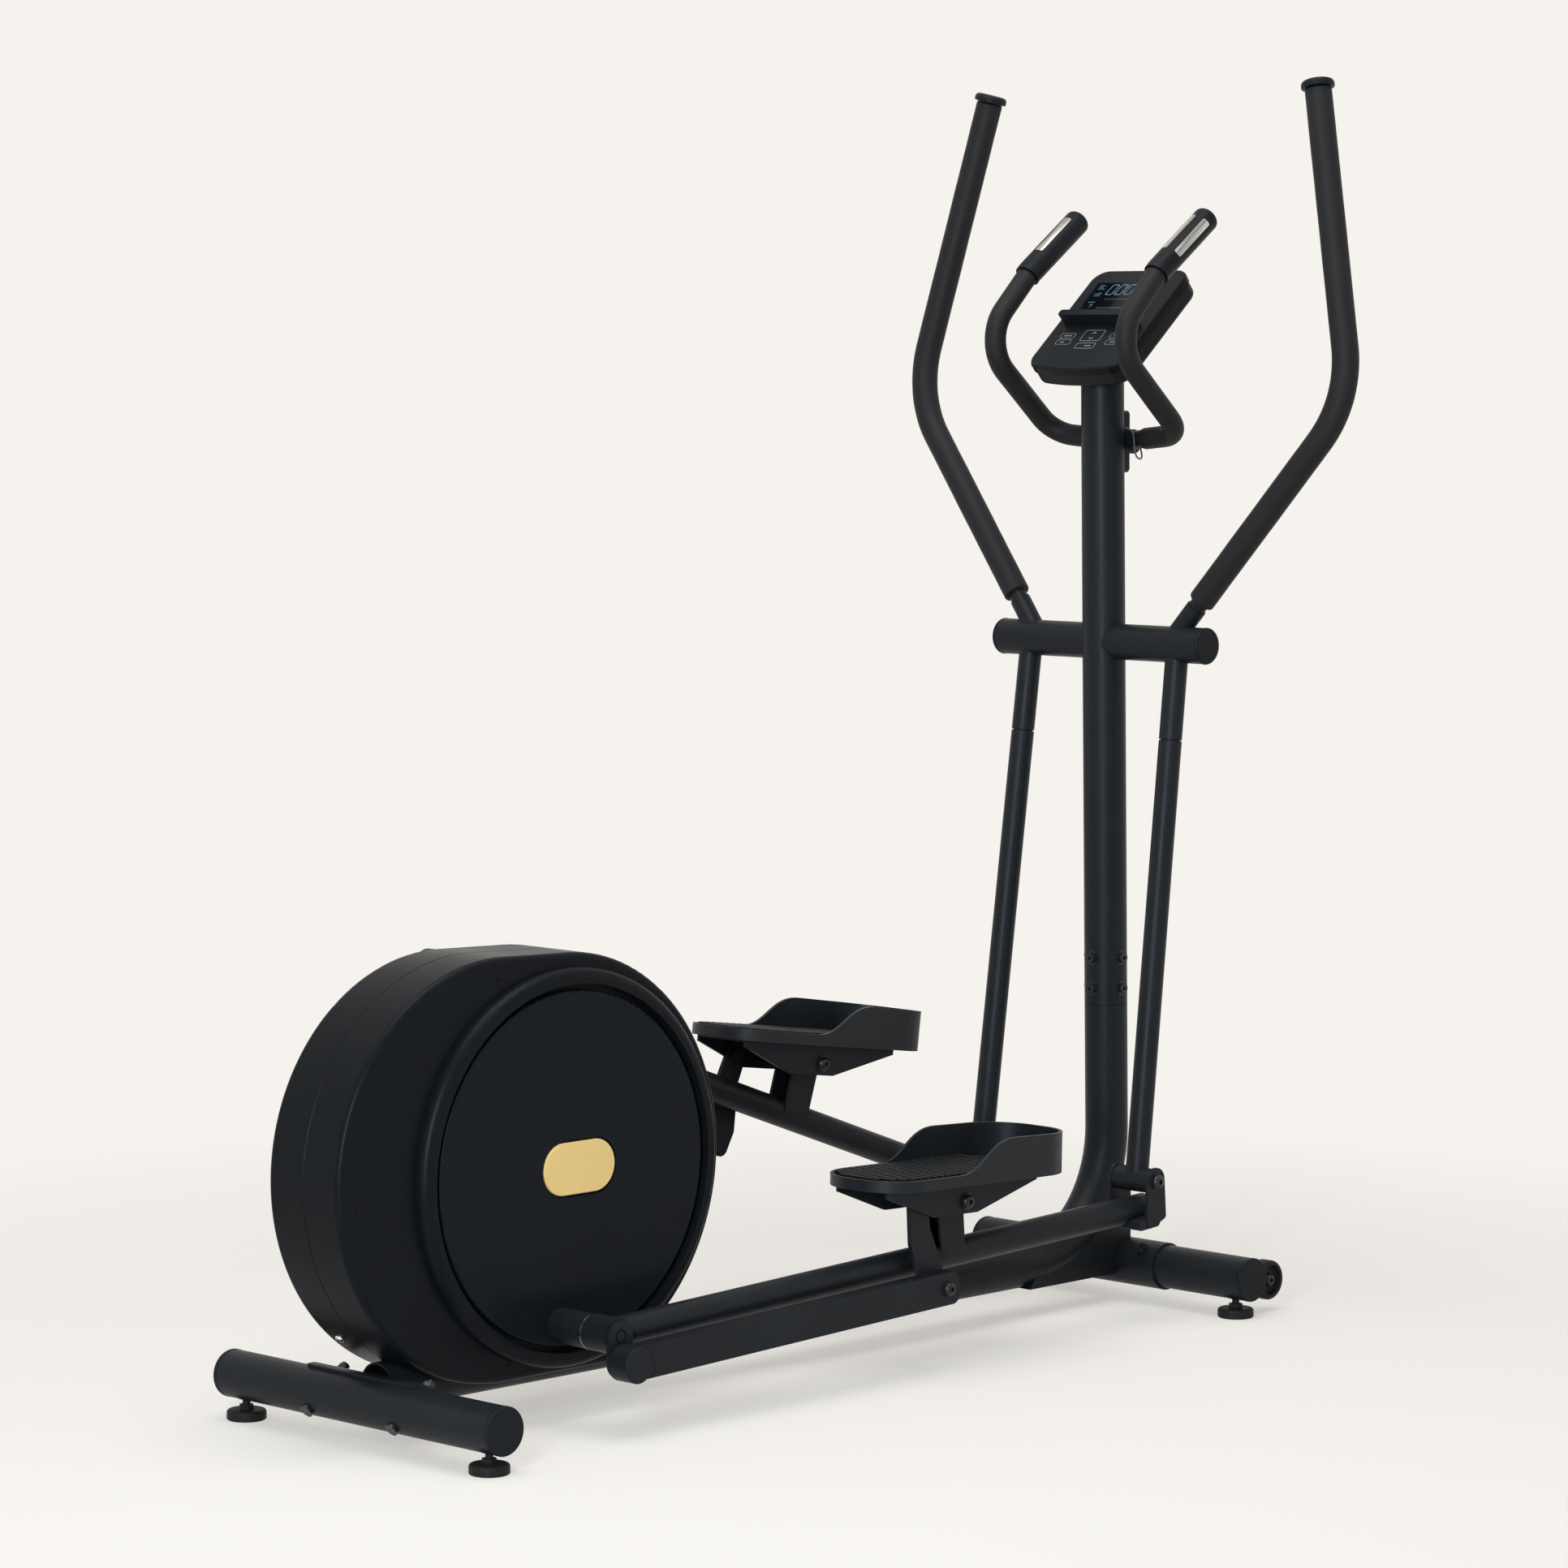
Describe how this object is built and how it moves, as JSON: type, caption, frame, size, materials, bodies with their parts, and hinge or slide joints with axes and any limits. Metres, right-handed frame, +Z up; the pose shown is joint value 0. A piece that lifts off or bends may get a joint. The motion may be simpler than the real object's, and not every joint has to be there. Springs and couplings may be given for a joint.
{
  "type": "elliptical trainer",
  "caption": "Rear-drive elliptical trainer with a drum housing, crank discs, linked pedals, swinging handles, fixed pulse handlebar and a console on a mast.",
  "frame": {"origin": "centre of the overall box on the floor, under the feet", "axes": "+X forward to the mast, +Y to the left of a user facing forward, +Z up"},
  "size_m": [1.5832, 0.8074, 1.7031],
  "materials": {
    "frame_steel": "satin black powder coat",
    "black_plastic": "satin moulded",
    "grip_foam": "matte foam sleeve",
    "foot_rubber": "matte",
    "bright_steel": "turned",
    "black_bolts": "black oxide",
    "flywheel_iron": "machined",
    "belt_rubber": "matte",
    "disc_plastic": "satin",
    "badge_gold": "satin gold",
    "pulse_steel": "brushed",
    "display_lens": "gloss",
    "lead_sheath": "matte",
    "pedal_plastic": "moulded grain"
  },
  "bodies": {
    "base": {"lower_frame": "frame_steel", "front_bracket": "frame_steel", "rear_saddle": "frame_steel", "rear_stabiliser": "frame_steel", "front_stabiliser": "frame_steel", "stabiliser_caps": "black_plastic", "mast": "frame_steel", "handle_axle": "bright_steel", "axle_plugs": "black_plastic", "frame_bolts": "black_bolts", "wheel_brackets": "frame_steel", "housing_right": "black_plastic", "housing_left": "black_plastic", "drive_bracket": "frame_steel", "crank_bearings": "bright_steel", "flywheel_axle": "bright_steel", "magnet_brake": "frame_steel", "drive_belt": "belt_rubber", "handlebar": "frame_steel", "handlebar_foam": "grip_foam", "pulse_grips": "black_plastic", "pulse_plates": "pulse_steel", "handlebar_clamp": "frame_steel", "console_body": "black_plastic", "console_lens": "display_lens", "pulse_lead": "lead_sheath"},
    "crank": {"crank_axle": "bright_steel", "crank_pulley": "black_plastic", "right_crank_disc": "disc_plastic", "left_crank_disc": "disc_plastic", "disc_badges": "badge_gold", "crank_bosses": "frame_steel"},
    "flywheel": {"flywheel": "flywheel_iron"},
    "right_handle": {"right_swing_bar": "frame_steel", "right_handle_foam": "grip_foam", "right_handle_caps": "black_plastic", "right_lower_arm": "frame_steel"},
    "right_arm": {"right_pedal_tube": "frame_steel", "right_arm_pins": "black_bolts", "right_return_crank": "frame_steel"},
    "right_tread": {"right_pedal": "pedal_plastic", "right_pedal_bracket": "frame_steel"},
    "right_link": {"right_control_link": "frame_steel"},
    "right_roller": {"right_wheel": "foot_rubber"},
    "left_handle": {"left_swing_bar": "frame_steel", "left_handle_foam": "grip_foam", "left_handle_caps": "black_plastic", "left_lower_arm": "frame_steel"},
    "left_arm": {"left_pedal_tube": "frame_steel", "left_arm_pins": "black_bolts", "left_return_crank": "frame_steel"},
    "left_tread": {"left_pedal": "pedal_plastic", "left_pedal_bracket": "frame_steel"},
    "left_link": {"left_control_link": "frame_steel"},
    "left_roller": {"left_wheel": "foot_rubber"},
    "levelling_rear_right": {"foot_rear_right": "foot_rubber"},
    "levelling_rear_left": {"foot_rear_left": "foot_rubber"},
    "levelling_front_right": {"foot_front_right": "foot_rubber"},
    "levelling_front_left": {"foot_front_left": "foot_rubber"}
  },
  "joints": [
    {"name": "crank_spin", "type": "hinge", "parent": "base", "child": "crank", "pos_m": [-0.4195, 0, 0.32], "axis": [0, 1, 0], "continuous": true},
    {"name": "flywheel_spin", "type": "hinge", "parent": "base", "child": "flywheel", "pos_m": [-0.6355, 0, 0.3], "axis": [0, 1, 0], "continuous": true},
    {"name": "right_handle_swing", "type": "hinge", "parent": "base", "child": "right_handle", "pos_m": [0.67118, -0.1005, 0.93], "axis": [0, 1, 0], "range_deg": [-15, 15]},
    {"name": "right_arm_pitch", "type": "hinge", "parent": "right_handle", "child": "right_arm", "pos_m": [0.57881, -0.1445, 0.19881], "axis": [0, 1, 0], "range_deg": [-15.5, 15.5]},
    {"name": "right_pedal_tilt", "type": "hinge", "parent": "right_arm", "child": "right_tread", "pos_m": [0.17718, -0.15, 0.2211], "axis": [0, 1, 0], "range_deg": [-4.05, 4.05]},
    {"name": "right_link_pivot", "type": "hinge", "parent": "right_tread", "child": "right_link", "pos_m": [0.09121, -0.187, 0.22335], "axis": [0, 1, 0], "range_deg": [-4.65, 4.65]},
    {"name": "left_handle_swing", "type": "hinge", "parent": "base", "child": "left_handle", "pos_m": [0.67118, 0.1005, 0.93], "axis": [0, 1, 0], "range_deg": [-15, 15]},
    {"name": "left_arm_pitch", "type": "hinge", "parent": "left_handle", "child": "left_arm", "pos_m": [0.57881, 0.1445, 0.19881], "axis": [0, 1, 0], "range_deg": [-15.5, 15.5]},
    {"name": "left_pedal_tilt", "type": "hinge", "parent": "left_arm", "child": "left_tread", "pos_m": [0.21495, 0.15, 0.3703], "axis": [0, 1, 0], "range_deg": [-4.05, 4.05]},
    {"name": "left_link_pivot", "type": "hinge", "parent": "left_tread", "child": "left_link", "pos_m": [0.12977, 0.187, 0.38212], "axis": [0, 1, 0], "range_deg": [-4.65, 4.65]},
    {"name": "right_roller_spin", "type": "hinge", "parent": "base", "child": "right_roller", "pos_m": [0.7641, -0.222, 0.045], "axis": [0, 1, 0], "continuous": true},
    {"name": "left_roller_spin", "type": "hinge", "parent": "base", "child": "left_roller", "pos_m": [0.7641, 0.222, 0.045], "axis": [0, 1, 0], "continuous": true},
    {"name": "rear_right_foot_turn", "type": "hinge", "parent": "base", "child": "levelling_rear_right", "pos_m": [-0.6959, -0.226, 0.015], "axis": [0, 0, 1], "continuous": true},
    {"name": "rear_left_foot_turn", "type": "hinge", "parent": "base", "child": "levelling_rear_left", "pos_m": [-0.6959, 0.226, 0.015], "axis": [0, 0, 1], "continuous": true},
    {"name": "front_right_foot_turn", "type": "hinge", "parent": "base", "child": "levelling_front_right", "pos_m": [0.7041, -0.219, 0.015], "axis": [0, 0, 1], "continuous": true},
    {"name": "front_left_foot_turn", "type": "hinge", "parent": "base", "child": "levelling_front_left", "pos_m": [0.7041, 0.219, 0.015], "axis": [0, 0, 1], "continuous": true}
  ],
  "couplings": [
    {"joint": "flywheel_spin", "follows": "crank_spin", "ratio": 6.5},
    {"joint": "left_handle_swing", "follows": "right_handle_swing", "ratio": -1},
    {"joint": "right_arm_pitch", "follows": "right_handle_swing", "ratio": -1},
    {"joint": "left_arm_pitch", "follows": "right_handle_swing", "ratio": 1},
    {"joint": "right_pedal_tilt", "follows": "right_handle_swing", "ratio": 0.25},
    {"joint": "left_pedal_tilt", "follows": "right_handle_swing", "ratio": -0.25},
    {"joint": "right_link_pivot", "follows": "right_handle_swing", "ratio": -0.29},
    {"joint": "left_link_pivot", "follows": "right_handle_swing", "ratio": 0.29}
  ]
}
